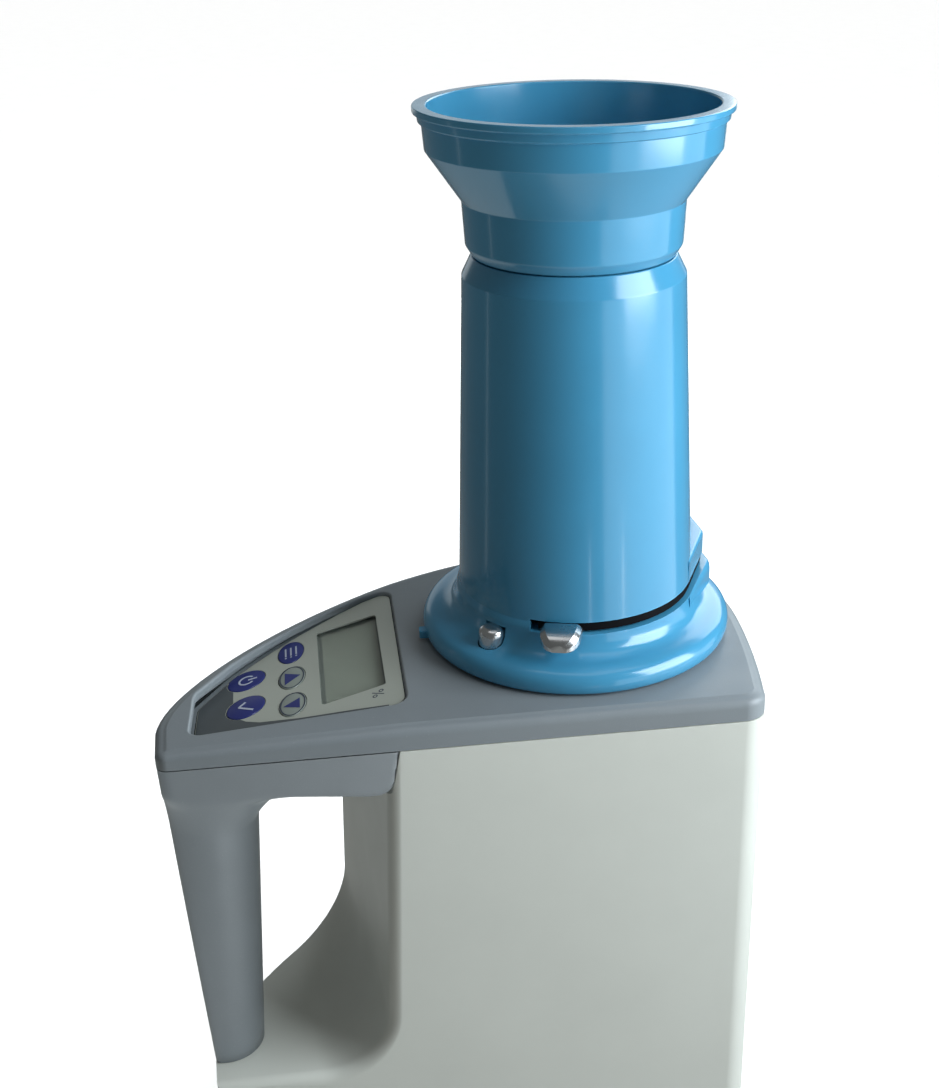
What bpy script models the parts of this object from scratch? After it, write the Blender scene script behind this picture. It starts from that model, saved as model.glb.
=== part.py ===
"""Grain moisture meter: a bench body with a carrying handle, a tilted control panel and a
lift-off drop cylinder whose swing gate releases the sample into the measuring chamber."""
import math

import bmesh
import bpy
from mathutils import Matrix, Vector

for old in list(bpy.data.objects):
    bpy.data.objects.remove(old, do_unlink=True)

# All lengths are millimetres until a body is finished. The drop cylinder's axis is x = y = 0,
# the flat front faces -Y, the handle is at -X, and z = 0 is the joint between cover and housing.
MM = 0.001
GAP = 0.35

# Body plan
FRONT_Y = -70.0
NOSE_X, NOSE_Y = -158.8, -51.75
CROWN = (0.3, 68.4)
RIGHT = (65.2, -3.3)
CORNER_X, CORNER_R = 60.3, 9.0
NOSE_CORNER_R, NOSE_TURN = 4.5, 1.2
NOSE_DRAFT, DRAFT_FROM, DRAFT_OVER = 0.0345, -95.0, 50.0

# Heights
COVER_TOP = 9.0
NOSE_START, NOSE_FALL = -72.0, 0.034
HOUSING_LOW = -194.0
BASE_LOW = -197.0
FOOT_LOW = -200.0
WALL = 2.5

# Handle scoop in the housing
SCOOP_FLOOR = -147.0
SCOOP_R = 28.0
SCOOP_X, SCOOP_LEAN, SCOOP_DRAFT = -77.4, 0.165, 0.05

# Handle
ARM_END, ARM_END_SLOPE, ARM_CORNER_R = -73.6, 0.18, 4.0
ARM_LOW_AT, ARM_LOW, ARM_LOW_SLOPE = -122.0, -15.0, -0.105
POST_TOP, POST_TOP_R = (-140.9, -52.4, -12.0), 16.5
POST_FOOT, POST_FOOT_R = (-148.8, -43.2, -146.65), 13.9
FLARE, FLARE_FROM, FLARE_OVER = 14.0, -32.0, 18.0
HANDLE_SCREW = (-144.5, -45.0)

# Control panel: floor plane, window and key grid
PANEL_AT, PANEL_Z, PANEL_SLOPE = -72.7, 7.94, 0.11
PANEL_LEFT, PANEL_RIGHT = -146.2, -69.6
PANEL_FRONT_LEFT, PANEL_FRONT_RIGHT = -58.4, -51.9
ROW_LEAN, COLUMN_LEAN = 0.30, -0.036
WINDOW_CENTRE, WINDOW_HALF_X, WINDOW_HALF_Y = (-89.4, -11.1), 11.9, 28.0
KEY_TRAVEL = 0.4
KEYS = {
    "variety": ((-112.2, 0.7), 4.9, 8.0),
    "up": ((-111.5, -18.9), 4.9, 8.0),
    "down": ((-110.8, -38.5), 4.9, 8.0),
    "power": ((-128.7, -15.4), 6.9, 6.7),
    "confirm": ((-128.1, -34.8), 6.9, 7.2),
}

# Drop cylinder, funnel and gate
FLANGE_R, FLANGE_LOW = 60.1, 9.35
SLOT_LOW, SLOT_HIGH = 27.9, 31.6
BORE_LOW_R, BORE_HIGH_R = 39.0, 36.0
CYLINDER_TOP = 156.7
FUNNEL_TOP, FUNNEL_R = 208.1, 55.0
PIVOT = (44.4, 20.7)
LUG = ((41.0, -19.0), (53.2, 8.0), (50.8, 33.0), (28.0, 34.0))
GATE_R, EYE_R, GATE_TURN = 40.3, 6.6, 110.0
TAB_ANGLE = -105.0
BUTTON_AT, BUTTON_R = (-36.3, -32.0), 5.0

# Measuring chamber
CHAMBER_R, CHAMBER_TOP, CHAMBER_LOW = 36.0, -6.5, -104.0
ELECTRODE_R = 11.0

FEET = {"front_left": (-142, -56), "front_right": (47, -58), "rear_left": (-95, 20), "rear_right": (35, 45)}
BASE_SCREWS = {"right": (56.5, -48), "rear": (22, 58), "front": (-98, -62), "left": (-118, 6)}
COVER_SCREWS = {"right": (55.5, -30), "rear": (30, 53), "front": (-62, -62), "left": (-58, 46)}

MATERIALS = {}


def material(name, colour, roughness, metallic=0.0, alpha=1.0):
    mat = bpy.data.materials.new(name)
    mat.use_nodes = True
    shader = mat.node_tree.nodes["Principled BSDF"]
    shader.inputs["Base Color"].default_value = (*colour, 1.0)
    shader.inputs["Roughness"].default_value = roughness
    shader.inputs["Metallic"].default_value = metallic
    shader.inputs["Alpha"].default_value = alpha
    MATERIALS[name] = mat


material("blue_plastic", (0.07, 0.30, 0.55), 0.18)
material("grey_plastic", (0.25, 0.28, 0.30), 0.45)
material("white_plastic", (0.66, 0.69, 0.65), 0.40)
material("overlay", (0.30, 0.34, 0.31), 0.35)
material("lcd_glass", (0.20, 0.24, 0.20), 0.10)
material("key_blue", (0.03, 0.04, 0.20), 0.35)
material("steel", (0.62, 0.62, 0.60), 0.22, 1.0)
material("black_plastic", (0.02, 0.02, 0.02), 0.50)
material("rubber", (0.03, 0.03, 0.03), 0.85)
material("circuit_board", (0.02, 0.15, 0.06), 0.50)
material("battery", (0.10, 0.10, 0.11), 0.35)
material("aluminium", (0.70, 0.70, 0.72), 0.35, 1.0)


def finish(name, bm, mat, pivot=(0, 0, 0)):
    """Turns a millimetre mesh into a named object whose origin is at the pivot."""
    bmesh.ops.recalc_face_normals(bm, faces=bm.faces)
    shift = Vector(pivot)
    for v in bm.verts:
        v.co = (v.co - shift) * MM
    mesh = bpy.data.meshes.new(name)
    bm.to_mesh(mesh)
    bm.free()
    obj = bpy.data.objects.new(name, mesh)
    obj.location = shift * MM
    obj.data.materials.append(MATERIALS[mat])
    bpy.context.scene.collection.objects.link(obj)
    return obj


def merge(bm, *steps):
    """Applies ("UNION" | "DIFFERENCE" | "INTERSECT", mesh) steps in turn and returns the result."""
    for operation, other in steps:
        pair = []
        for part in (bm, other):
            bmesh.ops.recalc_face_normals(part, faces=part.faces)
            mesh = bpy.data.meshes.new("step")
            part.to_mesh(mesh)
            part.free()
            obj = bpy.data.objects.new("step", mesh)
            bpy.context.scene.collection.objects.link(obj)
            pair.append(obj)
        mod = pair[0].modifiers.new("step", "BOOLEAN")
        mod.operation = operation
        mod.solver = "EXACT"
        mod.object = pair[1]
        graph = bpy.context.evaluated_depsgraph_get()
        result = bpy.data.meshes.new_from_object(pair[0].evaluated_get(graph))
        bm = bmesh.new()
        bm.from_mesh(result)
        bmesh.ops.remove_doubles(bm, verts=bm.verts, dist=0.002)
        for obj in pair:
            bpy.data.objects.remove(obj, do_unlink=True)
    return bm


def loft(loops):
    """A closed body through loops of equal length, capped at both ends."""
    bm = bmesh.new()
    rings = [[bm.verts.new(p) for p in loop] for loop in loops]
    count = len(rings[0])
    for a, b in zip(rings, rings[1:]):
        for i in range(count):
            j = (i + 1) % count
            bm.faces.new((a[i], a[j], b[j], b[i]))
    bm.faces.new(rings[0][::-1])
    bm.faces.new(rings[-1])
    return bm


def prism(outline, low, high):
    """A vertical prism. low and high are heights, or functions of x."""
    at = lambda h, x: h(x) if callable(h) else h
    return loft([[(x, y, at(h, x)) for x, y in outline] for h in (low, high)])


def circle(centre, radius, count, z=None, start=0.0):
    points = []
    for i in range(count):
        a = start + math.tau * i / count
        p = (centre[0] + radius * math.cos(a), centre[1] + radius * math.sin(a))
        points.append(p if z is None else (*p, z))
    return points


def lathe(profile, count=40, centre=(0, 0)):
    """A closed ring or solid turned from (radius, z) points about a vertical axis."""
    bm = bmesh.new()
    rings = []
    for r, z in profile:
        if r < 1e-6:
            rings.append([bm.verts.new((centre[0], centre[1], z))])
        else:
            rings.append([bm.verts.new(p) for p in circle(centre, r, count, z)])
    for a, b in zip(rings, rings[1:] + rings[:1]):
        for i in range(count):
            j = (i + 1) % count
            if len(a) == 1 and len(b) == 1:
                continue
            if len(a) == 1:
                bm.faces.new((a[0], b[j], b[i]))
            elif len(b) == 1:
                bm.faces.new((a[i], a[j], b[0]))
            else:
                bm.faces.new((a[i], a[j], b[j], b[i]))
    return bm


def rod(centre, radius, low, high, count=16):
    return lathe([(0, low), (radius, low), (radius, high), (0, high)], count, centre)


def box(low, high):
    (x0, y0, z0), (x1, y1, z1) = low, high
    return prism([(x0, y0), (x1, y0), (x1, y1), (x0, y1)], z0, z1)


def bezier(p0, p1, p2, p3, count):
    """Points along a cubic curve, without its last point."""
    points = []
    for i in range(count):
        t = i / count
        s = 1 - t
        points.append(tuple(
            a * s ** 3 + 3 * b * t * s * s + 3 * c * t * t * s + d * t ** 3
            for a, b, c, d in zip(p0, p1, p2, p3)
        ))
    return points


def arc(centre, radius, first, last, count):
    """Points on an arc, both ends included; angles in degrees."""
    turn = [math.radians(first + (last - first) * i / count) for i in range(count + 1)]
    return [(centre[0] + radius * math.cos(a), centre[1] + radius * math.sin(a)) for a in turn]


def inset(points, distance):
    """Moves a clockwise outline inwards along its corner normals."""
    moved = []
    count = len(points)
    for i, (x, y) in enumerate(points):
        before, after = Vector(points[i - 1]), Vector(points[(i + 1) % count])
        here = Vector((x, y))
        a, b = (here - before).normalized(), (after - here).normalized()
        n = Vector((a.y, -a.x)) + Vector((b.y, -b.x))
        n /= max(n.length_squared / 2, 0.4)
        moved.append((x + n.x * distance, y + n.y * distance))
    return moved


def back_edge(count=13):
    """The curved rear edge of the body, from the nose to the crown."""
    return bezier((NOSE_X, NOSE_Y), (NOSE_X, NOSE_Y + 40.3), (CROWN[0] - 72.3, CROWN[1]), CROWN, count)


def body_outline(distance=0.0):
    """The body's plan, counter-clockwise, moved inwards by a distance."""
    points = back_edge()
    points += bezier(CROWN, (CROWN[0] + 43.5, CROWN[1]), (RIGHT[0], RIGHT[1] + 38.7), RIGHT, 9)
    points += bezier(RIGHT, (RIGHT[0], RIGHT[1] - 20.5), (CORNER_X + 2.9, -43), (CORNER_X, -61), 4)
    corner = (CORNER_X - CORNER_R, FRONT_Y + CORNER_R)
    points += arc(corner, CORNER_R, 0, -90, 4)
    nose = (NOSE_X + NOSE_TURN + NOSE_CORNER_R, FRONT_Y + NOSE_CORNER_R)
    points += arc(nose, NOSE_CORNER_R, -90, -180, 4)
    return inset(points, distance)[::-1]


def column(distance, low, high):
    """An upright body on the plan whose handle end draws in towards the floor."""
    loops = []
    for z in (low, high):
        share = [min(1.0, max(0.0, (DRAFT_FROM - x) / DRAFT_OVER)) for x, _ in body_outline(distance)]
        loops.append([(x - NOSE_DRAFT * z * w, y, z) for (x, y), w in zip(body_outline(distance), share)])
    return loft(loops)


def cover_height(x):
    return COVER_TOP - NOSE_FALL * max(0.0, NOSE_START - x)


def panel_height(x):
    return PANEL_Z + PANEL_SLOPE * (x - PANEL_AT)


def above_panel(distance):
    return lambda x: panel_height(x) + distance


def rounded(points, radii):
    """Replaces each corner that has a radius with an arc of four short sides."""
    result = []
    count = len(points)
    for i, radius in enumerate(radii):
        here = Vector(points[i])
        if not radius:
            result.append(tuple(here))
            continue
        a = (Vector(points[i - 1]) - here).normalized()
        b = (Vector(points[(i + 1) % count]) - here).normalized()
        half = a.angle(b) / 2
        start, end = here + a * radius / math.tan(half), here + b * radius / math.tan(half)
        centre = here + (a + b).normalized() * radius / math.sin(half)
        for k in range(5):
            middle = start.lerp(end, k / 4) - centre
            result.append(tuple(centre + middle.normalized() * radius))
    return result


def recess_outline(distance=0.0):
    """The panel recess in plan, counter-clockwise; a positive distance grows it."""
    far = [p for p in inset(back_edge(40), 5.5) if PANEL_LEFT + 9 < p[0] < PANEL_RIGHT - 10][::-4]
    points = [(PANEL_LEFT, PANEL_FRONT_LEFT), (PANEL_RIGHT, PANEL_FRONT_RIGHT), (PANEL_RIGHT - 2.5, 38.4)]
    points += far + [(PANEL_LEFT, -29.5)]
    radii = [4, 6, 4] + [0] * len(far) + [5]
    return inset(rounded(points, radii)[::-1], -distance)[::-1]


def leaning_oval(centre, half_x, half_y, grow=0.0, count=18):
    points = []
    for i in range(count):
        a = math.tau * i / count
        u, v = (half_x + grow) * math.cos(a), (half_y + grow) * math.sin(a)
        points.append((centre[0] + u + COLUMN_LEAN * v, centre[1] + ROW_LEAN * u + v))
    return points


def window_outline(grow=0.0):
    points = []
    for u, v in ((-1, -1), (1, -1), (1, 1), (-1, 1)):
        u, v = u * (WINDOW_HALF_X + grow), v * (WINDOW_HALF_Y + grow)
        points.append((WINDOW_CENTRE[0] + u + COLUMN_LEAN * v, WINDOW_CENTRE[1] + ROW_LEAN * u + v))
    return points


def scoop(grow=0.0):
    """The hand space that runs from front to back between handle and housing."""
    loops = []
    for y in (-95.0, 95.0):
        wall = lambda z: SCOOP_X + grow - SCOOP_LEAN * (y - FRONT_Y) + SCOOP_DRAFT * z
        radius, floor = SCOOP_R + grow, SCOOP_FLOOR - grow
        bend = wall(floor + radius)
        curve = arc((bend - radius, floor + radius), radius, -90, 0, 8)
        outline = [(-220, floor)] + curve + [(wall(12), 12), (-220, 12)]
        loops.append([(x, y, z) for x, z in outline])
    return loft(loops)


def arm_low(x):
    return ARM_LOW + ARM_LOW_SLOPE * (x - ARM_LOW_AT)


def arm_region(grow=0.0, top=-0.3):
    """The space of the handle's upper arm: flush end, sloping underside, rounded lower corner."""
    loops = []
    for y in (-95.0, 95.0):
        end = lambda z: ARM_END + grow + ARM_END_SLOPE * z - SCOOP_LEAN * (y - FRONT_Y)
        foot = end(-18.0)
        r = ARM_CORNER_R
        corner = arc((foot - r, arm_low(foot) + r - grow), r, -80, 0, 4)
        outline = [(-220, arm_low(-220) - grow)] + corner + [(end(top), top), (-220, top)]
        loops.append([(x, y, z) for x, z in outline])
    return loft(loops)


def post(shrink=0.0, top=-9.0, foot=None):
    """The handle's tapering grip, flaring on the hand side where it meets the arm."""
    foot = POST_FOOT[2] if foot is None else foot
    loops = []
    for z in (top, -17.0, -20.0, -24.0, -28.0, FLARE_FROM, foot):
        t = (POST_TOP[2] - z) / (POST_TOP[2] - POST_FOOT[2])
        radius = POST_TOP_R + (POST_FOOT_R - POST_TOP_R) * t - shrink
        rise = min(1.0, max(0.0, (z - FLARE_FROM) / FLARE_OVER))
        flare = 0.0 if shrink else FLARE * rise ** 1.3
        centre = [POST_TOP[k] + (POST_FOOT[k] - POST_TOP[k]) * t for k in (0, 1)]
        loops.append([
            (x + max(0.0, (x - centre[0]) / radius) * flare, y, z)
            for x, y in circle(centre, radius, 24)
        ])
    return loft(loops[::-1])


def housing():
    body = column(0.0, HOUSING_LOW, -0.3)
    hollow = column(WALL, HOUSING_LOW - 6, 6)
    hollow = merge(hollow, ("DIFFERENCE", scoop(WALL)))
    for place in BASE_SCREWS.values():
        hollow = merge(hollow, ("DIFFERENCE", rod(place, 6, HOUSING_LOW - 9, -166)))
    for place in COVER_SCREWS.values():
        hollow = merge(hollow, ("DIFFERENCE", rod(place, 6, -14, -8.2)))
    steps = [("DIFFERENCE", scoop()), ("DIFFERENCE", hollow), ("DIFFERENCE", arm_region(0.4, 12))]
    steps += [("DIFFERENCE", rod(p, 1.75, HOUSING_LOW - 2, -180, 12)) for p in BASE_SCREWS.values()]
    steps += [("DIFFERENCE", rod(p, 1.9, -16, -6, 12)) for p in COVER_SCREWS.values()]
    steps += [("DIFFERENCE", rod(HANDLE_SCREW, 2.2, -152, -140, 12))]
    finish("housing", merge(body, *steps), "white_plastic")


def handle():
    arm = merge(column(0.0, -40, -0.35), ("INTERSECT", arm_region()))
    grip = merge(post(), ("INTERSECT", column(0.0, -160, -0.35)))
    tray = prism(body_outline(2.8), lambda x: arm_low(x) + 2.6, 8)
    bore = merge(post(3.0, -4.0, -132.0), ("INTERSECT", column(3.2, -160, 6)))
    hole = rod(HANDLE_SCREW, 1.75, -150, -138, 12)
    finish("handle", merge(arm, ("UNION", grip), ("DIFFERENCE", tray), ("DIFFERENCE", bore),
                           ("DIFFERENCE", hole)), "grey_plastic")


def top_cover():
    steps = ((0.0, 0.1), (0.0, 5.3), (0.4, 7.2), (1.4, 8.4), (3.4, 9.0))
    outer = loft([[(x, y, z) for x, y in body_outline(d)] for d, z in steps])
    bmesh.ops.bisect_plane(
        outer, geom=outer.verts[:] + outer.edges[:] + outer.faces[:],
        plane_co=(NOSE_START, 0, 0), plane_no=(1, 0, 0))
    for v in outer.verts:
        if v.co.x < NOSE_START:
            v.co.z *= cover_height(v.co.x) / COVER_TOP
    hollow = prism(body_outline(WALL), -4, lambda x: cover_height(x) - WALL)
    pocket = prism(recess_outline(2.0), above_panel(-2.7), above_panel(-0.2))
    hollow = merge(hollow, ("DIFFERENCE", pocket))
    for place in COVER_SCREWS.values():
        hollow = merge(hollow, ("DIFFERENCE", rod(place, 3.6, -9, 12)))
    hollow = merge(hollow, ("DIFFERENCE", rod((0, 0), 45.2, -9, 12, 40)))
    bosses = [("UNION", rod(p, 3.6, -7.6, 5)) for p in COVER_SCREWS.values()]
    holes = [("DIFFERENCE", rod(p, 1.75, -9, -1.2, 12)) for p in COVER_SCREWS.values()]
    keyholes = [("DIFFERENCE", rod(c, 2.6, -12, 12, 16)) for c, _, _ in KEYS.values()]
    body = merge(
        outer, ("UNION", prism(recess_outline(2.0), above_panel(-2.7), above_panel(0.5))),
        ("UNION", rod((0, 0), 45.2, -3.0, 5, 40)), *bosses, ("DIFFERENCE", hollow),
        ("DIFFERENCE", prism(recess_outline(), above_panel(-1.1), 30)),
        ("DIFFERENCE", rod((0, 0), 42.6, -9, 30, 40)), *holes, *keyholes,
        ("DIFFERENCE", prism(window_outline(2.2), -20, 20)))
    finish("top_cover", body, "grey_plastic")


def panel():
    sheet = prism(recess_outline(-0.4), above_panel(-0.7), above_panel(0.0))
    cuts = [("DIFFERENCE", prism(leaning_oval(c, a, b, 0.35), -20, 20)) for c, a, b in KEYS.values()]
    sheet = merge(sheet, *cuts, ("DIFFERENCE", prism(window_outline(), -20, 20)))
    finish("keypad_overlay", sheet, "overlay")
    glass = window_outline(1.8)
    finish("lcd_window", prism(glass, above_panel(-2.0), above_panel(-1.05)), "lcd_glass")
    finish("lcd_module", prism(glass, above_panel(-5.4), above_panel(-2.4)), "black_plastic")
    edge = [(-137, -45), (-104.5, -45), (-104.5, 5), (-117, 5), (-137, -14.5)]
    finish("keypad_board", prism(edge, above_panel(-8.6), above_panel(-7.4)), "circuit_board")
    for name, (centre, a, b) in KEYS.items():
        cap = prism(leaning_oval(centre, a, b), above_panel(-0.3), above_panel(0.4))
        stem = merge(cap, ("UNION", prism(circle(centre, 2.0, 16), above_panel(-3.9), above_panel(0.0))))
        pivot = (*centre, panel_height(centre[0]))
        finish("key_" + name, stem, "key_blue", pivot)
        x, y = centre
        body = prism([(x - 3, y - 3), (x + 3, y - 3), (x + 3, y + 3), (x - 3, y + 3)],
                     above_panel(-7.1), above_panel(-5.2))
        button = prism(circle(centre, 1.5, 12), above_panel(-5.5), above_panel(-4.6))
        finish("switch_" + name, merge(body, ("UNION", button)), "black_plastic")


def gate_slot():
    """Plan of the slot: open from the tab round the front to behind the pivot, and cleared on
    its left end for the sweep of the plate as it swings out."""
    clear = []
    for bearing in range(-147, -117, 3):
        along = Vector((math.cos(math.radians(bearing)), math.sin(math.radians(bearing))))
        reach = 0.0
        for turn in range(0, int(GATE_TURN), 2):
            shift = Vector(PIVOT) - Vector(PIVOT) @ Matrix.Rotation(math.radians(-turn), 2)
            inside = shift.dot(along) ** 2 - shift.length_squared + (GATE_R + 0.6) ** 2
            if inside > 0:
                reach = max(reach, shift.dot(along) + math.sqrt(inside))
        clear.append(tuple(along * reach))
    return [(0.0, 0.0)] + clear + arc((0, 0), 75, TAB_ANGLE - 13, 47, 16)


def hopper():
    profile = [
        (57.7, 9.35), (59.5, 10.5), (60.1, 13.0), (59.6, 15.6), (58.0, 17.6), (55.5, 18.7),
        (51.5, 19.6), (48.9, 21.0), (47.3, 23.2), (46.5, 26.0), (46.2, 28.6), (45.2, 31.0),
        (40.15, 149.6), (36.6, 156.7), (35.0, 156.7), (BORE_HIGH_R, 150.0), (BORE_LOW_R, 36.0),
        (BORE_LOW_R, 4.6), (42.1, 4.6), (42.1, 12.5), (44.5, 14.8), (53.5, 14.8), (56.0, 12.5), (56.0, 9.35),
    ]
    body = lathe(profile, 44)
    upper = [(0.0, SLOT_HIGH - 1.0), (0.0, 39.3), (1.2, 40.5)]
    lower = [(-3.2, 14.0), (-3.2, 25.0), (-2.3, 27.2), (-0.8, SLOT_LOW), (-0.8, SLOT_LOW + 1.0)]
    for levels in (upper, lower):
        lug = rounded(LUG, [0, 7, 9, 0])[::-1]
        shape = loft([[(x, y, z) for x, y in inset(lug, d)[::-1]] for d, z in levels])
        shape = merge(shape, ("DIFFERENCE", rod((0, 0), BORE_LOW_R + 2.0, 0, 60, 44)))
        body = merge(body, ("UNION", shape))
    key = box((-62.2, -9.0, 10.8), (-56.5, -4.8, 13.8))
    slot = prism(gate_slot(), SLOT_LOW, SLOT_HIGH)
    groove = rod((0, 0), GATE_R + 0.7, SLOT_LOW, SLOT_HIGH, 44)
    body = merge(
        body, ("UNION", key), ("DIFFERENCE", slot), ("DIFFERENCE", groove),
        ("DIFFERENCE", rod(PIVOT, 2.4, 22.0, 60, 16)), ("DIFFERENCE", rod(BUTTON_AT, 5.4, 5, 26.4)))
    finish("drop_cylinder", body, "blue_plastic")


def funnel():
    profile = [
        (FUNNEL_R, 208.1), (FUNNEL_R, 205.9), (53.5, 205.6), (53.2, 202.9), (52.0, 202.5), (51.35, 193.4),
        (39.3, 175.9), (38.5, 160.6), (37.9, 158.6), (36.4, 157.2), (34.4, 157.2), (34.0, 141.0),
        (32.0, 141.0), (32.4, 157.0), (36.4, 174.8), (49.0, 192.6), (50.1, 208.1),
    ]
    finish("funnel", lathe(profile, 44), "blue_plastic", (0, 0, 157.2))


def gate():
    """Swing plate with its pivot eye and a tongue that carries the thumb tab."""
    out = Vector((math.cos(math.radians(TAB_ANGLE)), math.sin(math.radians(TAB_ANGLE))))
    side = Vector((-out.y, out.x))
    bearing = math.degrees(math.atan2(PIVOT[1], PIVOT[0]))
    lean = math.degrees(math.asin(EYE_R / GATE_R))
    eye = arc(PIVOT, EYE_R, bearing - 90, bearing + 90, 10)
    plate = arc((0, 0), GATE_R, bearing + lean, bearing + 360 - lean, 48)
    body = prism(plate + eye, 28.6, 30.9)
    tongue = [out * r + side * s for r, s in ((38, -4), (53, -4), (53, 4), (38, 4))]
    body = merge(body, ("UNION", prism([tuple(p) for p in tongue], 28.9, 30.7)),
                 ("DIFFERENCE", rod(PIVOT, 2.4, 20, 40, 16)))
    pivot = (*PIVOT, 29.8)
    finish("gate_plate", body, "black_plastic", pivot)
    loops = []
    for r, low, high, half in ((46.8, 27.6, 32.2, 7.6), (50.5, 27.2, 32.3, 7.5), (54.0, 26.4, 31.4, 6.8),
                               (56.3, 25.4, 29.8, 5.6), (57.6, 24.8, 28.0, 3.9)):
        ring = [(-half, low), (half, low), (half, high - 1.4), (half - 1.8, high),
                (-half + 1.8, high), (-half, high - 1.4)]
        loops.append([(*(out * r + side * s), z) for s, z in ring])
    pocket = [out * r + side * s for r, s in ((44, -4.35), (53.4, -4.35), (53.4, 4.35), (44, 4.35))]
    tab = merge(loft(loops), ("DIFFERENCE", prism([tuple(p) for p in pocket], 28.5, 31.1)))
    finish("gate_tab", tab, "steel", pivot)
    pin = [(0, 22.4), (2.0, 22.4), (2.0, 40.9), (3.6, 40.9), (3.6, 41.6), (2.8, 42.1), (0, 42.1)]
    finish("gate_pin", lathe(pin, 16, PIVOT), "steel", pivot)
    button = [(0, 12.2), (BUTTON_R, 12.2), (BUTTON_R, 22.4), (4.4, 23.7), (2.6, 24.6), (0, 24.9)]
    finish("release_button", lathe(button, 28, BUTTON_AT), "steel", (*BUTTON_AT, 20.0))


def chamber():
    collar = [(42.1, 4.0), (42.1, -5.9), (36.0, -5.9), (41.0, 4.0)]
    finish("chamber_collar", lathe(collar), "black_plastic")
    tube = [(CHAMBER_R, CHAMBER_LOW), (37.2, CHAMBER_LOW), (37.2, CHAMBER_TOP), (CHAMBER_R, CHAMBER_TOP)]
    finish("outer_electrode", lathe(tube), "aluminium")
    base = [(0, -112.0), (39.5, -112.0), (39.5, -101.5), (37.6, -101.5), (37.6, -104.4), (0, -104.4)]
    finish("chamber_base", lathe(base), "black_plastic")
    core = [(0, -104.0), (ELECTRODE_R, -104.0), (ELECTRODE_R, -32.0), (9.0, -26.0), (3.0, -20.0), (0, -19.0)]
    finish("inner_electrode", lathe(core, 28), "steel")
    finish("temperature_probe", rod((22, 12), 2.0, -104.0, -88.0, 16), "steel")
    finish("load_cell", box((-40, -6.4, -125.2), (40, 6.4, -112.5)), "aluminium")
    bracket = merge(box((22, -10, -193.6), (42, 10, -125.6)),
                    ("DIFFERENCE", box((25, -20, -170), (39, 20, -132))))
    finish("load_cell_bracket", bracket, "aluminium")


def electronics():
    board = box((-34, 52.0, -100), (34, 53.6, -32))
    chips = ((-12, -60, 16, 16, 2.4), (14, -48, 10, 8, 2.0), (12, -80, 18, 9, 6.0), (-22, -86, 9, 9, 5.0))
    for x, z, w, h, d in chips:
        board = merge(board, ("UNION", box((x - w / 2, 52.6 - d, z - h / 2), (x + w / 2, 52.6, z + h / 2))))
    finish("main_board", board, "circuit_board")
    middle = (-28.0, -18.0)
    x, y = middle
    tray = merge(box((x - 29, y - 32.5, -193.6), (x + 29, y + 32.5, -176.5)),
                 ("DIFFERENCE", box((x - 27.2, y - 31, -199), (x + 27.2, y + 31, -178))))
    finish("battery_holder", tray, "black_plastic")
    for i in range(4):
        y = middle[1] + (i - 1.5) * 15.2
        turn = 1 if i % 2 else -1
        profile = [(0, -25.0), (7.0, -25.0), (7.0, 23.6), (2.6, 23.6), (2.6, 25.2), (0, 25.2)]
        cell = lathe(profile, 16)
        for v in cell.verts:
            v.co = Vector((middle[0] + turn * v.co.z, y + turn * v.co.y, -186.0 + v.co.x))
        finish("battery_%d" % (i + 1), cell, "battery")
    return middle


def base(middle):
    plate = column(0.4, BASE_LOW, HOUSING_LOW - 0.35)
    cx, cy = middle
    opening = [(cx - 28, cy - 31), (cx + 28, cy - 31), (cx + 28, cy + 31), (cx - 28, cy + 31)]
    steps = [("DIFFERENCE", prism(rounded(opening, [4] * 4), -220, -180))]
    for place in FEET.values():
        steps.append(("DIFFERENCE", rod(place, 6.9, -205, -195.9)))
    for place in BASE_SCREWS.values():
        steps += [("DIFFERENCE", rod(place, 1.75, -205, -190, 12)),
                  ("DIFFERENCE", rod(place, 3.5, -205, -195.7, 16))]
    finish("base_plate", merge(plate, *steps), "black_plastic")
    lid = [(x + math.copysign(0.4, cx - x), y + math.copysign(0.4, cy - y)) for x, y in opening]
    lid = rounded(lid, [3.6] * 4)
    door = merge(prism(lid, BASE_LOW + 0.1, BASE_LOW + 1.9),
                 ("DIFFERENCE", rod((cx - 20, cy), 5.0, BASE_LOW - 1, BASE_LOW + 0.9)))
    finish("battery_door", door, "black_plastic", (cx, cy, BASE_LOW + 1))
    for name, place in FEET.items():
        foot = [(0, FOOT_LOW), (5.4, FOOT_LOW), (6.3, FOOT_LOW + 0.8), (6.5, -196.3), (0, -196.3)]
        finish("foot_" + name, lathe(foot, 16, place), "rubber")


def screw(name, place, head, tip):
    """A pan-head screw with a drive recess; the shank runs from the head towards the tip."""
    s = 1 if tip > head else -1
    profile = [(0, head + 0.7 * s), (1.1, head), (2.4, head), (3.1, head + 0.5 * s),
               (3.1, head + 1.2 * s), (1.4, head + 1.2 * s), (1.4, tip - 1.2 * s), (0, tip)]
    finish(name, lathe(profile, 10, place), "steel", (place[0], place[1], head))


housing()
handle()
top_cover()
panel()
hopper()
funnel()
gate()
chamber()
base(electronics())
for label, spot in BASE_SCREWS.items():
    screw("base_screw_" + label, spot, -197.0, -183.0)
for label, spot in COVER_SCREWS.items():
    screw("cover_screw_" + label, spot, -15.5, -3.0)
screw("handle_screw", HANDLE_SCREW, -151.2, -140.0)

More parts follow.
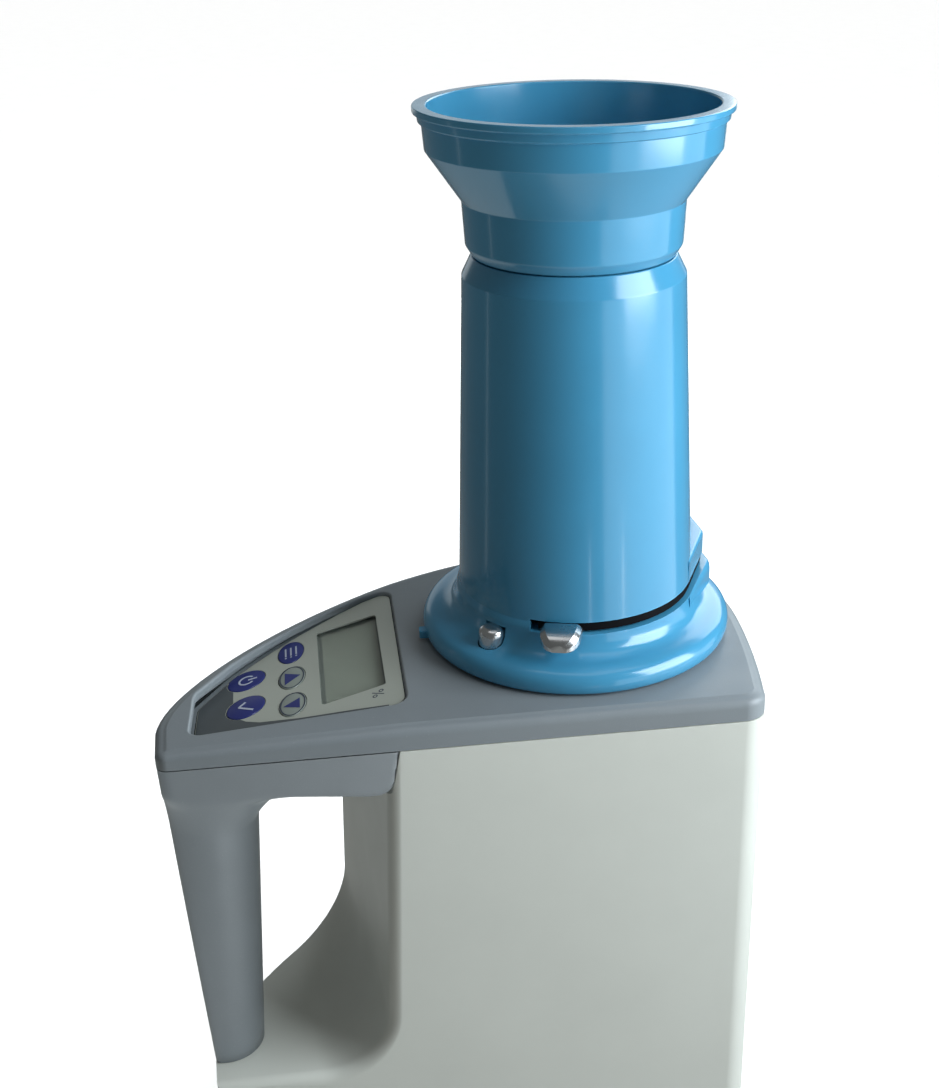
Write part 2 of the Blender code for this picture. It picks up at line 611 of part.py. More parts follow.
# The row's origin is the middle of the footprint, level with the feet.
bpy.context.view_layer.update()
corners = [o.matrix_world @ Vector(c) for o in bpy.data.objects for c in o.bound_box]
low = Vector([min(c[k] for c in corners) for k in range(3)])
high = Vector([max(c[k] for c in corners) for k in range(3)])
shift = Vector(((low.x + high.x) / 2, (low.y + high.y) / 2, low.z))
for obj in bpy.data.objects:
    obj.location -= shift
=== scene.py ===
"""Visual model of the grain moisture meter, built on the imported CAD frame."""
import math

import bmesh
import bpy
import numpy as np
from mathutils import Matrix, Vector


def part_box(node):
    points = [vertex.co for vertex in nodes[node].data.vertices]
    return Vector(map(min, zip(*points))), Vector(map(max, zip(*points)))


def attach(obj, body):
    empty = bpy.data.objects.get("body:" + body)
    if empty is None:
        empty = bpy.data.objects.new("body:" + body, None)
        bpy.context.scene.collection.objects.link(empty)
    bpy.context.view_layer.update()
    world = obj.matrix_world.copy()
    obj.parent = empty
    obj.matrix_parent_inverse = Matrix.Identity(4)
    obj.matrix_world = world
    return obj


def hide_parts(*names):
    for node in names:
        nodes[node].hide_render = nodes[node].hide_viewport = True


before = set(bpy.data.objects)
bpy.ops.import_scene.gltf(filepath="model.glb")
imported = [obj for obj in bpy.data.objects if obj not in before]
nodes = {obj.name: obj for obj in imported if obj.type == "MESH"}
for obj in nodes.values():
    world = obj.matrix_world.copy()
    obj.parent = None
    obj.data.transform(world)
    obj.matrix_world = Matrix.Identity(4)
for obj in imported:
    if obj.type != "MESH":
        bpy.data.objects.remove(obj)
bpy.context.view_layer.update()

# Shapes are drawn in millimetres about the drop cylinder's axis, with z = 0 at the cover's seam, which is
# 0.3 mm above the housing's top.
MM = 0.001
funnel_low, funnel_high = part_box("funnel")
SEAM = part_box("housing")[1].z + 0.0003
ORIGIN = Vector(((funnel_low.x + funnel_high.x) / 2, (funnel_low.y + funnel_high.y) / 2, SEAM))

# Plan of the body, read at the seam.
FRONT_Y = -70.0
NOSE_X, NOSE_Y = -158.8, -51.75
CROWN = (0.3, 68.4)
RIGHT = (65.2, -3.3)
CORNER_X, CORNER_R = 60.3, 9.0
NOSE_CORNER_R, NOSE_TURN = 4.5, 1.2
NOSE_DRAFT, DRAFT_FROM, DRAFT_OVER = 0.0345, -95.0, 50.0

# Cover, housing, hand space and handle.
COVER_TOP, NOSE_START, NOSE_FALL = 9.0, -72.0, 0.034
HOUSING_LOW, WALL, SEAM_GAP = -194.0, 2.5, 0.3
SPIGOT_R, BORE_R = 45.2, 42.6
SCOOP_FLOOR, SCOOP_R, SCOOP_EDGE = -147.0, 28.0, 4.6
SCOOP_X, SCOOP_LEAN, SCOOP_DRAFT = -77.4, 0.165, 0.05
ARM_END, ARM_END_SLOPE = -73.6, 0.18
ARM_LOW_AT, ARM_LOW, ARM_LOW_SLOPE = -122.0, -15.0, -0.105
POST_TOP, POST_TOP_R = (-140.9, -52.4, -12.0), 16.5
POST_FOOT, POST_FOOT_R = (-148.8, -43.2, -146.65), 13.9
FLARE, FLARE_FROM, FLARE_OVER = 14.0, -32.0, 18.0
SKIN_STEP, QUICK_STEP = 1.1, 1.5

# Panel: a floor that slopes along x, with rows and columns that lean across it.
PANEL_AT, PANEL_Z, PANEL_SLOPE = -72.7, 7.94, 0.11
PANEL_LEFT, PANEL_RIGHT = -146.2, -69.6
PANEL_FRONT_LEFT, PANEL_FRONT_RIGHT = -58.4, -51.9
ROW_LEAN, COLUMN_LEAN = 0.30, -0.036
WINDOW_CENTRE, WINDOW_HALF_X, WINDOW_HALF_Y = (-89.4, -11.1), 11.9, 28.0
KEYS = {
    "variety": ((-112.2, 0.7), 4.9, 8.0),
    "up": ((-111.5, -18.9), 4.9, 8.0),
    "down": ((-110.8, -38.5), 4.9, 8.0),
    "power": ((-128.7, -15.4), 6.9, 6.7),
    "confirm": ((-128.1, -34.8), 6.9, 7.2),
}

# Drop cylinder's slot and lugs, and the gate plate that swings in them.
SLOT_LOW, SLOT_HIGH = 27.4, 31.7
PIVOT = (44.4, 20.7)
LUG, LUG_RADII = ((41.0, -19.0), (53.2, 8.0), (50.8, 33.0), (28.0, 34.0)), (0, 7, 5, 0)
GATE_R, GATE_TURN, GATE_LOW, GATE_HIGH = 40.3, 110.0, 28.3, 31.2
TAB_ANGLE = -105.0
BUTTON_AT, BUTTON_R = (-36.3, -32.0), 5.0


# ---------------------------------------------------------------- materials

def node(tree, kind, **values):
    item = tree.nodes.new(kind)
    for key, value in values.items():
        if key in item.inputs:
            item.inputs[key].default_value = value
        else:
            setattr(item, key, value)
    return item


def surface(name, colour, rough, *, tone=0.05, spread=0.05, grain=1800.0, bump=0.08, metallic=0.0,
            coat=0.0, coat_rough=0.06, worn_edge_highlight=0.0, speck=0.0, transmission=0.0, specular=0.5):
    """A plastic or metal with mottled tone, uneven gloss, fine grain, and edges lightened in patches: partly
    wear, partly a painted highlight.
    """
    mat = bpy.data.materials.new(name)
    mat.use_nodes = True
    tree = mat.node_tree
    link = tree.links.new
    shader = tree.nodes["Principled BSDF"]
    shader.inputs["Metallic"].default_value = metallic
    shader.inputs["Specular IOR Level"].default_value = specular
    shader.inputs["Coat Weight"].default_value = coat
    shader.inputs["Coat Roughness"].default_value = coat_rough
    shader.inputs["Transmission Weight"].default_value = transmission
    place = node(tree, "ShaderNodeTexCoord").outputs["Object"]

    def noise(scale, detail=3.0, roughness=0.55):
        item = node(tree, "ShaderNodeTexNoise", Scale=scale, Detail=detail, Roughness=roughness)
        link(place, item.inputs["Vector"])
        return item.outputs["Fac"]

    def ranged(source, low, high, new_low, new_high):
        item = node(tree, "ShaderNodeMapRange")
        for key, value in (("From Min", low), ("From Max", high), ("To Min", new_low), ("To Max", new_high)):
            item.inputs[key].default_value = value
        link(source, item.inputs["Value"])
        return item.outputs["Result"]

    def mixed(factor, a, b):
        item = node(tree, "ShaderNodeMix", data_type="RGBA")
        link(factor, item.inputs["Factor"])
        for socket, value in ((item.inputs[6], a), (item.inputs[7], b)):
            if isinstance(value, tuple):
                socket.default_value = (*value, 1.0)
            else:
                link(value, socket)
        return item.outputs[2]

    low = tuple(c * (1 - tone) for c in colour)
    high = tuple(min(1.0, c * (1 + tone)) for c in colour)
    tint = mixed(ranged(noise(22.0, 4.0), 0.3, 0.7, 0.0, 1.0), low, high)
    if speck:
        tint = mixed(ranged(noise(grain * 0.6, 2.0, 0.7), 0.62, 0.75, 0.0, speck), tint, (0.9, 0.9, 0.88))
    # Lighter colour on edges, in patches: partly wear, partly a painted edge highlight.
    if worn_edge_highlight:
        soft = node(tree, "ShaderNodeBevel", samples=4, Radius=0.0009)
        flat = node(tree, "ShaderNodeNewGeometry")
        dot = node(tree, "ShaderNodeVectorMath", operation="DOT_PRODUCT")
        link(soft.outputs["Normal"], dot.inputs[0])
        link(flat.outputs["Normal"], dot.inputs[1])
        edge = ranged(dot.outputs["Value"], 0.995, 0.93, 0.0, 1.0)
        patch = ranged(noise(260.0, 3.0), 0.42, 0.62, 0.15, 1.0)
        both = node(tree, "ShaderNodeMath", operation="MULTIPLY")
        link(edge, both.inputs[0])
        link(patch, both.inputs[1])
        light = tuple(min(1.0, c * (1 + worn_edge_highlight) + 0.02 * worn_edge_highlight) for c in colour)
        tint = mixed(both.outputs["Value"], tint, light)
    link(tint, shader.inputs["Base Color"])
    link(ranged(noise(70.0, 5.0, 0.6), 0.3, 0.7, max(0.02, rough - spread), rough + spread),
         shader.inputs["Roughness"])
    bumper = node(tree, "ShaderNodeBump", Strength=bump, Distance=0.0002)
    link(noise(grain, 2.0, 0.5), bumper.inputs["Height"])
    link(bumper.outputs["Normal"], shader.inputs["Normal"])
    return mat


def brushed(name, colour, rough, stretch=(40.0, 40.0, 2600.0), bump=0.12):
    """Machined metal with fine lines across one direction."""
    mat = surface(name, colour, rough, tone=0.08, spread=0.07, metallic=1.0, bump=0.03)
    tree = mat.node_tree
    place = node(tree, "ShaderNodeTexCoord").outputs["Object"]
    mapping = node(tree, "ShaderNodeMapping")
    mapping.inputs["Scale"].default_value = stretch
    lines = node(tree, "ShaderNodeTexNoise", Scale=1.0, Detail=4.0, Roughness=0.6)
    bumper = node(tree, "ShaderNodeBump", Strength=bump, Distance=0.0001)
    tree.links.new(place, mapping.inputs["Vector"])
    tree.links.new(mapping.outputs["Vector"], lines.inputs["Vector"])
    tree.links.new(lines.outputs["Fac"], bumper.inputs["Height"])
    tree.links.new(bumper.outputs["Normal"], tree.nodes["Principled BSDF"].inputs["Normal"])
    return mat


BLUE = surface("glossy_blue", (0.06, 0.295, 0.495), 0.19, tone=0.04, spread=0.04, grain=900.0, bump=0.02,
               coat=0.35, coat_rough=0.08, worn_edge_highlight=0.25)
GREY = surface("satin_grey", (0.228, 0.251, 0.268), 0.41, tone=0.04, grain=2600.0, bump=0.16, worn_edge_highlight=0.25,
               speck=0.06)
WHITE = surface("satin_white", (0.66, 0.665, 0.61), 0.42, tone=0.025, grain=2400.0, bump=0.12, worn_edge_highlight=0.12)
OVERLAY = surface("printed_film", (0.42, 0.435, 0.38), 0.36, tone=0.03, grain=3200.0, bump=0.05)
# Dark grey of the printed area, also used as painted shade along the panel's near edge.
PRINT_AND_SHADE = surface("print_and_painted_shade", (0.08, 0.09, 0.095), 0.36, tone=0.06, grain=3200.0, bump=0.05)
LCD = surface("display_glass", (0.24, 0.26, 0.215), 0.22, tone=0.04, spread=0.03, grain=4000.0, bump=0.01)
LENS = surface("clear_lens", (0.93, 0.95, 0.94), 0.05, tone=0.01, spread=0.02, bump=0.0, transmission=1.0)
KEY_BLUE = surface("key_ink_blue", (0.022, 0.03, 0.17), 0.34, tone=0.08, grain=3200.0, bump=0.05)
KEY_PALE = surface("key_ink_pale", (0.27, 0.30, 0.27), 0.36, tone=0.03, grain=3200.0, bump=0.05)
INK_PALE = surface("ink_pale", (0.50, 0.53, 0.62), 0.4, tone=0.05, bump=0.02)
INK_DARK = surface("ink_dark", (0.03, 0.04, 0.07), 0.4, tone=0.05, bump=0.02)
STEEL = brushed("bright_steel", (0.62, 0.63, 0.64), 0.24)
ALUMINIUM = brushed("machined_aluminium", (0.66, 0.67, 0.69), 0.34, (30.0, 30.0, 1800.0))
# Near black and barely reflective, darker than the black plastic: the plate's own black, deepened as painted
# shade so that the slot reads dark.
SLOT_SHADE_BLADE = surface("black_blade_painted_shade", (0.003, 0.003, 0.004), 0.7, tone=0.3, grain=2400.0, bump=0.1, specular=0.08)
MASK = surface("display_border", (0.10, 0.115, 0.10), 0.4, tone=0.05, grain=3200.0, bump=0.03)
BLACK = surface("black_plastic", (0.018, 0.018, 0.02), 0.5, tone=0.15, grain=2400.0, bump=0.12, worn_edge_highlight=0.6)
RUBBER = surface("black_rubber", (0.022, 0.022, 0.022), 0.82, tone=0.2, grain=1500.0, bump=0.25)
BOARD = surface("green_board", (0.015, 0.11, 0.045), 0.42, tone=0.12, grain=1200.0, bump=0.1, speck=0.25)
CELL = surface("cell_sleeve", (0.07, 0.075, 0.09), 0.3, tone=0.12, grain=1400.0, bump=0.05, coat=0.3)


# ---------------------------------------------------------------- mesh tools

def clean(bm):
    bmesh.ops.recalc_face_normals(bm, faces=bm.faces)
    return bm


def piece(name, bm, mat, body, stands_for=(), sharp=32.0, bevel=0.0, segments=2, weighted=True):
    """Turns a millimetre mesh into a shaded piece that rides on a body."""
    clean(bm)
    bmesh.ops.triangulate(bm, faces=[f for f in bm.faces if len(f.verts) > 16], ngon_method="BEAUTY")
    for v in bm.verts:
        v.co = v.co * MM + ORIGIN
    mesh = bpy.data.meshes.new(name)
    bm.to_mesh(mesh)
    bm.free()
    obj = bpy.data.objects.new(name, mesh)
    bpy.context.scene.collection.objects.link(obj)
    mesh.materials.append(mat)
    mesh.polygons.foreach_set("use_smooth", [True] * len(mesh.polygons))
    if bevel:
        mod = obj.modifiers.new("edge", "BEVEL")
        mod.width = bevel * MM
        mod.segments = segments
        mod.limit_method = "ANGLE"
        mod.angle_limit = math.radians(sharp)
        mod.harden_normals = False
        mod.miter_outer = "MITER_ARC"
    mesh.set_sharp_from_angle(angle=math.radians(sharp if not bevel else 75.0))
    if weighted:
        mod = obj.modifiers.new("normals", "WEIGHTED_NORMAL")
        mod.keep_sharp = True
        mod.weight = 80
    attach(obj, body)
    if stands_for:
        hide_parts(*stands_for)
    return obj


def apply(bm, build):
    """Runs modifiers, set up by build on a temporary object, over a mesh."""
    mesh = bpy.data.meshes.new("step")
    clean(bm).to_mesh(mesh)
    bm.free()
    obj = bpy.data.objects.new("step", mesh)
    bpy.context.scene.collection.objects.link(obj)
    build(obj)
    result = bpy.data.meshes.new_from_object(obj.evaluated_get(bpy.context.evaluated_depsgraph_get()))
    bpy.data.objects.remove(obj, do_unlink=True)
    out = bmesh.new()
    out.from_mesh(result)
    bpy.data.meshes.remove(result)
    return out


def merge(bm, *steps):
    """Adds, cuts or crosses a mesh with others, in turn."""
    for operation, other in steps:
        mesh = bpy.data.meshes.new("tool")
        clean(other).to_mesh(mesh)
        other.free()
        tool = bpy.data.objects.new("tool", mesh)
        bpy.context.scene.collection.objects.link(tool)

        def build(obj):
            mod = obj.modifiers.new("step", "BOOLEAN")
            mod.operation, mod.solver, mod.object = operation, "EXACT", tool

        bm = apply(bm, build)
        bpy.data.objects.remove(tool, do_unlink=True)
        bmesh.ops.remove_doubles(bm, verts=bm.verts, dist=0.001)
    return bm


def loft(loops):
    """A closed body through loops with the same number of points."""
    bm = bmesh.new()
    rings = [[bm.verts.new(p) for p in loop] for loop in loops]
    count = len(rings[0])
    for a, b in zip(rings, rings[1:]):
        for i in range(count):
            j = (i + 1) % count
            bm.faces.new((a[i], a[j], b[j], b[i]))
    bm.faces.new(rings[0][::-1])
    bm.faces.new(rings[-1])
    return bm


def prism(outline, low, high):
    """An upright body on an outline; a height may be a number or a function of x."""
    at = lambda h, x: h(x) if callable(h) else h
    return loft([[(x, y, at(h, x)) for x, y in outline] for h in (low, high)])


def circle(centre, radius, count, z=None):
    points = []
    for i in range(count):
        a = math.tau * i / count
        p = (centre[0] + radius * math.cos(a), centre[1] + radius * math.sin(a))
        points.append(p if z is None else (*p, z))
    return points


def lathe(profile, count=96, centre=(0, 0)):
    """A body turned from a closed profile of radii and heights."""
    bm = bmesh.new()
    rings = []
    for r, z in profile:
        ring = [(centre[0], centre[1], z)] if r < 1e-6 else circle(centre, r, count, z)
        rings.append([bm.verts.new(p) for p in ring])
    for a, b in zip(rings, rings[1:] + rings[:1]):
        if len(a) == 1 and len(b) == 1:
            continue
        for i in range(count):
            j = (i + 1) % count
            if len(a) == 1:
                bm.faces.new((a[0], b[j], b[i]))
            elif len(b) == 1:
                bm.faces.new((a[i], a[j], b[0]))
            else:
                bm.faces.new((a[i], a[j], b[j], b[i]))
    return bm


def rod(centre, radius, low, high, count=48):
    return lathe([(0, low), (radius, low), (radius, high), (0, high)], count, centre)


def box(low, high):
    (x0, y0, z0), (x1, y1, z1) = low, high
    return prism([(x0, y0), (x1, y0), (x1, y1), (x0, y1)], z0, z1)


def bezier(p0, p1, p2, p3, count):
    points = []
    for i in range(count):
        t = i / count
        s = 1 - t
        points.append(tuple(a * s ** 3 + 3 * b * t * s * s + 3 * c * t * t * s + d * t ** 3
                            for a, b, c, d in zip(p0, p1, p2, p3)))
    return points


def arc(centre, radius, first, last, count):
    turn = [math.radians(first + (last - first) * i / count) for i in range(count + 1)]
    return [(centre[0] + radius * math.cos(a), centre[1] + radius * math.sin(a)) for a in turn]


def inset(points, distance):
    """Moves a clockwise outline inwards."""
    moved = []
    count = len(points)
    for i, (x, y) in enumerate(points):
        before, after = Vector(points[i - 1]), Vector(points[(i + 1) % count])
        here = Vector((x, y))
        a, b = (here - before).normalized(), (after - here).normalized()
        n = Vector((a.y, -a.x)) + Vector((b.y, -b.x))
        n /= max(n.length_squared / 2, 0.4)
        moved.append((x + n.x * distance, y + n.y * distance))
    return moved


def rounded(points, radii, count=5):
    """Replaces each corner that has a radius with an arc."""
    result = []
    total = len(points)
    for i, radius in enumerate(radii):
        here = Vector(points[i])
        if not radius:
            result.append(tuple(here))
            continue
        a = (Vector(points[i - 1]) - here).normalized()
        b = (Vector(points[(i + 1) % total]) - here).normalized()
        half = a.angle(b) / 2
        start, end = here + a * radius / math.tan(half), here + b * radius / math.tan(half)
        centre = here + (a + b).normalized() * radius / math.sin(half)
        for k in range(count):
            middle = start.lerp(end, k / (count - 1)) - centre
            result.append(tuple(centre + middle.normalized() * radius))
    return result


def back_edge(count=34):
    return bezier((NOSE_X, NOSE_Y), (NOSE_X, NOSE_Y + 40.3), (CROWN[0] - 72.3, CROWN[1]), CROWN, count)


def body_outline(distance=0.0):
    points = back_edge()
    points += bezier(CROWN, (CROWN[0] + 43.5, CROWN[1]), (RIGHT[0], RIGHT[1] + 38.7), RIGHT, 20)
    points += bezier(RIGHT, (RIGHT[0], RIGHT[1] - 20.5), (CORNER_X + 2.9, -43), (CORNER_X, -61), 8)
    points += arc((CORNER_X - CORNER_R, FRONT_Y + CORNER_R), CORNER_R, 0, -90, 10)
    nose = (NOSE_X + NOSE_TURN + NOSE_CORNER_R, FRONT_Y + NOSE_CORNER_R)
    points += arc(nose, NOSE_CORNER_R, -90, -180, 10)
    return inset(points, distance)[::-1]


def drawn_in(x, z):
    """How far the handle end of the body has drawn in at a height."""
    return -NOSE_DRAFT * z * np.clip((DRAFT_FROM - x) / DRAFT_OVER, 0.0, 1.0)


def column(distance, low, high, levels=2):
    """An upright body on the plan whose handle end draws in towards the floor."""
    return loft([[(x + drawn_in(x, z), y, z) for x, y in body_outline(distance)]
                 for z in np.linspace(low, high, levels)])


def cover_height(x):
    return COVER_TOP - NOSE_FALL * max(0.0, NOSE_START - x)


def panel_height(x):
    return PANEL_Z + PANEL_SLOPE * (x - PANEL_AT)


def above_panel(distance):
    return lambda x: panel_height(x) + distance


def recess_outline(distance=0.0):
    far = [p for p in inset(back_edge(40), 5.5) if PANEL_LEFT + 9 < p[0] < PANEL_RIGHT - 10][::-2]
    points = [(PANEL_LEFT, PANEL_FRONT_LEFT), (PANEL_RIGHT, PANEL_FRONT_RIGHT), (PANEL_RIGHT - 2.5, 38.4)]
    points += far + [(PANEL_LEFT, -30.5)]
    radii = [4, 6, 4] + [0] * len(far) + [9]
    return inset(rounded(points, radii, 8)[::-1], -distance)[::-1]


def lean(centre, u, v):
    return centre[0] + u + COLUMN_LEAN * v, centre[1] + ROW_LEAN * u + v


def leaning_oval(centre, half_x, half_y, grow=0.0, count=56):
    return [lean(centre, (half_x + grow) * math.cos(math.tau * i / count),
                 (half_y + grow) * math.sin(math.tau * i / count)) for i in range(count)]


def window_outline(grow=0.0, radius=0.0):
    corners = ((-1, -1), (1, -1), (1, 1), (-1, 1))
    points = [lean(WINDOW_CENTRE, u * (WINDOW_HALF_X + grow), v * (WINDOW_HALF_Y + grow)) for u, v in corners]
    return rounded(points, [radius] * 4) if radius else points


def scoop(grow=0.0, edge=0.0):
    """The hand space; edge is the radius of its rounded meeting with the front face."""
    stations = [(-95.0, edge)]
    if edge:
        stations.append((FRONT_Y - 0.01, edge))
        stations += [(FRONT_Y + edge * (1 - math.cos(a)), edge * (1 - math.sin(a)))
                     for a in np.linspace(0, math.pi / 2, 9)[1:]]
    loops = []
    for y, more in stations + [(95.0, 0.0)]:
        out = grow + more
        wall = lambda z: SCOOP_X + out - SCOOP_LEAN * (y - FRONT_Y) + SCOOP_DRAFT * z
        radius, floor = SCOOP_R + out, SCOOP_FLOOR - out
        curve = arc((wall(floor + radius) - radius, floor + radius), radius, -90, 0, 22)
        outline = [(-220, floor)] + curve + [(wall(12), 12), (-220, 12)]
        loops.append([(x, y, z) for x, z in outline])
    return loft(loops)


def arm_low(x):
    return ARM_LOW + ARM_LOW_SLOPE * (x - ARM_LOW_AT)


def arm_region(grow, top):
    """The space of the handle's arm, which the housing leaves free."""
    loops = []
    for y in (-95.0, 95.0):
        end = lambda z: ARM_END + grow + ARM_END_SLOPE * z - SCOOP_LEAN * (y - FRONT_Y)
        foot = end(-18.0)
        corner = arc((foot - 4.0, arm_low(foot) + 4.0 - grow), 4.0, -80, 0, 8)
        outline = [(-220, arm_low(-220) - grow)] + corner + [(end(top), top), (-220, top)]
        loops.append([(x, y, z) for x, z in outline])
    return loft(loops)


# ---------------------------------------------------------------- housing

def housing():
    hollow = merge(column(WALL, HOUSING_LOW - 6, 6), ("DIFFERENCE", scoop(WALL)))
    body = merge(column(0.0, HOUSING_LOW, -SEAM_GAP), ("DIFFERENCE", scoop(edge=SCOOP_EDGE)),
                 ("DIFFERENCE", hollow), ("DIFFERENCE", arm_region(0.4, 12)))
    piece("housing_shell", body, WHITE, "main_unit", ["housing"], sharp=38.0, bevel=0.3)


# ---------------------------------------------------------------- handle

OUTLINE = np.array(body_outline())


def outline_distance(x, y):
    """Signed distance to the body's plan, negative inside."""
    a, b = OUTLINE, np.roll(OUTLINE, -1, 0)
    best = np.full(x.shape, 1e9)
    inside = np.zeros(x.shape, bool)
    for (x0, y0), (x1, y1) in zip(a, b):
        dx, dy = x1 - x0, y1 - y0
        t = np.clip(((x - x0) * dx + (y - y0) * dy) / (dx * dx + dy * dy), 0, 1)
        best = np.minimum(best, np.hypot(x - x0 - t * dx, y - y0 - t * dy))
        crosses = (y0 > y) != (y1 > y)
        with np.errstate(divide="ignore", invalid="ignore"):
            side = x < (x1 - x0) * (y - y0) / (y1 - y0) + x0
        inside ^= crosses & side
    return np.where(inside, -best, best)


def smooth_max(a, b, k):
    h = np.clip(k - np.abs(a - b), 0, None) / k
    return np.maximum(a, b) + h * h * k / 4


def smooth_min(a, b, k):
    return -smooth_max(-a, -b, k)


def handle_distance(p):
    """Signed distance to the handle: a flat arm that flows into a round grip, hollow inside."""
    x, y, z = p[..., 0], p[..., 1], p[..., 2]
    plan = outline_distance(x - drawn_in(x, z), y)
    low = arm_low(x) - z
    end = (x - (ARM_END + ARM_END_SLOPE * z - SCOOP_LEAN * (y - FRONT_Y))) * 0.97
    t = (POST_TOP[2] - z) / (POST_TOP[2] - POST_FOOT[2])
    radius = POST_TOP_R + (POST_FOOT_R - POST_TOP_R) * t
    cx = POST_TOP[0] + (POST_FOOT[0] - POST_TOP[0]) * t
    cy = POST_TOP[1] + (POST_FOOT[1] - POST_TOP[1]) * t
    bar = np.hypot(x - cx, y - cy) - radius
    rise = np.clip((z - FLARE_FROM) / FLARE_OVER, 0.0, 1.6)
    wide = np.where(x > cx, (x - cx) / (1 + FLARE * rise ** 1.3 / radius), (x - cx) * 0.8)
    grip = np.hypot(wide, y - cy) - radius - 2.6 * rise ** 2
    crisp = 0.9 + 1.6 * np.clip((low - end + 5.0) / 10.0, 0.0, 1.0)
    whole = smooth_max(smooth_min(smooth_max(low, end, 8.0), grip, 7.0), plan, crisp)
    tray = np.maximum(outline_distance(x, y) + 2.8, arm_low(x) + 2.6 - z)
    bore = np.maximum(np.maximum(bar + 3.0, -132.0 - z), plan + 3.2)
    return np.maximum(whole, -np.minimum(tray, bore))


def skin(distance, low, high, step):
    """A closed surface where a distance field is zero, one vertex to a grid cell."""
    axes = [np.arange(low[k], high[k] + step, step) for k in range(3)]
    grid = np.stack(np.meshgrid(*axes, indexing="ij"), -1)
    value = distance(grid)
    inside = value < 0
    corners = [(i, j, k) for i in (0, 1) for j in (0, 1) for k in (0, 1)]
    shape = tuple(n - 1 for n in value.shape)
    count = sum(inside[i:i + shape[0], j:j + shape[1], k:k + shape[2]].astype(int) for i, j, k in corners)
    cells = np.argwhere((count > 0) & (count < 8))
    index = -np.ones(shape, int)
    index[tuple(cells.T)] = np.arange(len(cells))
    total, weight = np.zeros((len(cells), 3)), np.zeros(len(cells))
    for a in corners:
        for axis in range(3):
            if a[axis]:
                continue
            b = list(a)
            b[axis] = 1
            pa, pb = cells + a, cells + b
            va, vb = value[tuple(pa.T)], value[tuple(pb.T)]
            hit = (va < 0) != (vb < 0)
            t = np.where(hit, va / np.where(hit, va - vb, 1), 0)[:, None]
            total += np.where(hit[:, None], pa + t * (pb - pa), 0)
            weight += hit
    points = np.array(low) + total / weight[:, None] * step
    for _ in range(3):
        d = distance(points)
        e = 0.05
        g = np.stack([distance(points + e * np.eye(3)[k]) - d for k in range(3)], -1) / e
        move = d[:, None] * g / np.maximum((g * g).sum(-1, keepdims=True), 0.1)
        points -= np.clip(move, -0.4 * step, 0.4 * step)
    faces = []
    for axis in range(3):
        u, v = (axis + 1) % 3, (axis + 2) % 3
        first = [slice(None)] * 3
        second = [slice(None)] * 3
        first[axis], second[axis] = slice(None, -1), slice(1, None)
        change = inside[tuple(first)] != inside[tuple(second)]
        for c in np.argwhere(change):
            if 0 in (c[u], c[v]) or any(c[k] > shape[k] - 1 for k in range(3)):
                continue
            ring = []
            for du, dv in ((-1, -1), (0, -1), (0, 0), (-1, 0)):
                q = c.copy()
                q[u] += du
                q[v] += dv
                ring.append(index[tuple(q)])
            faces.append(ring if inside[tuple(c)] else ring[::-1])
    bm = bmesh.new()
    verts = [bm.verts.new(p) for p in points]
    for f in faces:
        if min(f) >= 0:
            bm.faces.new([verts[i] for i in f])
    return bm


def handle():
    step = SKIN_STEP
    bm = skin(handle_distance, (-162.0, -73.0, -151.0), (-68.0, 41.0, 5.0), step)
    bm = merge(bm, ("INTERSECT", box((-180, -90, POST_FOOT[2]), (-50, 60, -0.35))))
    piece("handle_grip", bm, GREY, "main_unit", ["handle"], sharp=45.0, weighted=False)


# ---------------------------------------------------------------- top cover and panel

def top_cover():
    steps = [(0.0, 0.1), (0.0, 5.2), (0.12, 6.2), (0.45, 7.0), (0.95, 7.65), (1.6, 8.1), (2.3, 8.35),
             (2.9, 8.47), (3.4, 8.62), (3.8, 8.82), (4.15, 8.95), (4.35, 9.0)]
    outer = loft([[(x, y, z) for x, y in body_outline(d)] for d, z in steps])
    bmesh.ops.bisect_plane(outer, geom=outer.verts[:] + outer.edges[:] + outer.faces[:],
                           plane_co=(NOSE_START, 0, 0), plane_no=(1, 0, 0))
    for v in outer.verts:
        if v.co.x < NOSE_START:
            v.co.z *= cover_height(v.co.x) / COVER_TOP
    bmesh.ops.triangulate(outer, faces=[f for f in outer.faces if len(f.verts) > 4 and f.normal.z > 0.5])
    pocket = prism(recess_outline(2.0), above_panel(-2.7), above_panel(-0.2))
    hollow = merge(prism(body_outline(WALL), -4, lambda x: cover_height(x) - WALL), ("DIFFERENCE", pocket),
                   ("DIFFERENCE", rod((0, 0), SPIGOT_R, -9, 12, 72)))
    lip = [(0.0, panel_height, -1.1), (0.0, panel_height, 0.1), (0.2, cover_height, -1.0)]
    lip += [(0.2 + 1.0 * (1 - math.cos(a)), cover_height, -1.0 + math.sin(a))
            for a in np.linspace(0, math.pi / 2, 6)[1:]] + [(1.2, cover_height, 30.0)]
    recess = loft([[(x, y, height(x) + h) for x, y in recess_outline(g)] for g, height, h in lip])
    holes = [("DIFFERENCE", rod(c, 2.6, -12, 12, 20)) for c, _, _ in KEYS.values()]
    body = merge(
        outer, ("UNION", prism(recess_outline(2.0), above_panel(-2.7), above_panel(0.5))),
        ("UNION", rod((0, 0), SPIGOT_R, -3.0, 5, 72)), ("DIFFERENCE", hollow), ("DIFFERENCE", recess),
        ("DIFFERENCE", rod((0, 0), BORE_R, -9, 30, 96)), *holes,
        ("DIFFERENCE", prism(window_outline(2.2), -20, 20)))
    piece("cover_shell", body, GREY, "main_unit", ["top_cover"], sharp=30.0, bevel=0.4,
          segments=3)


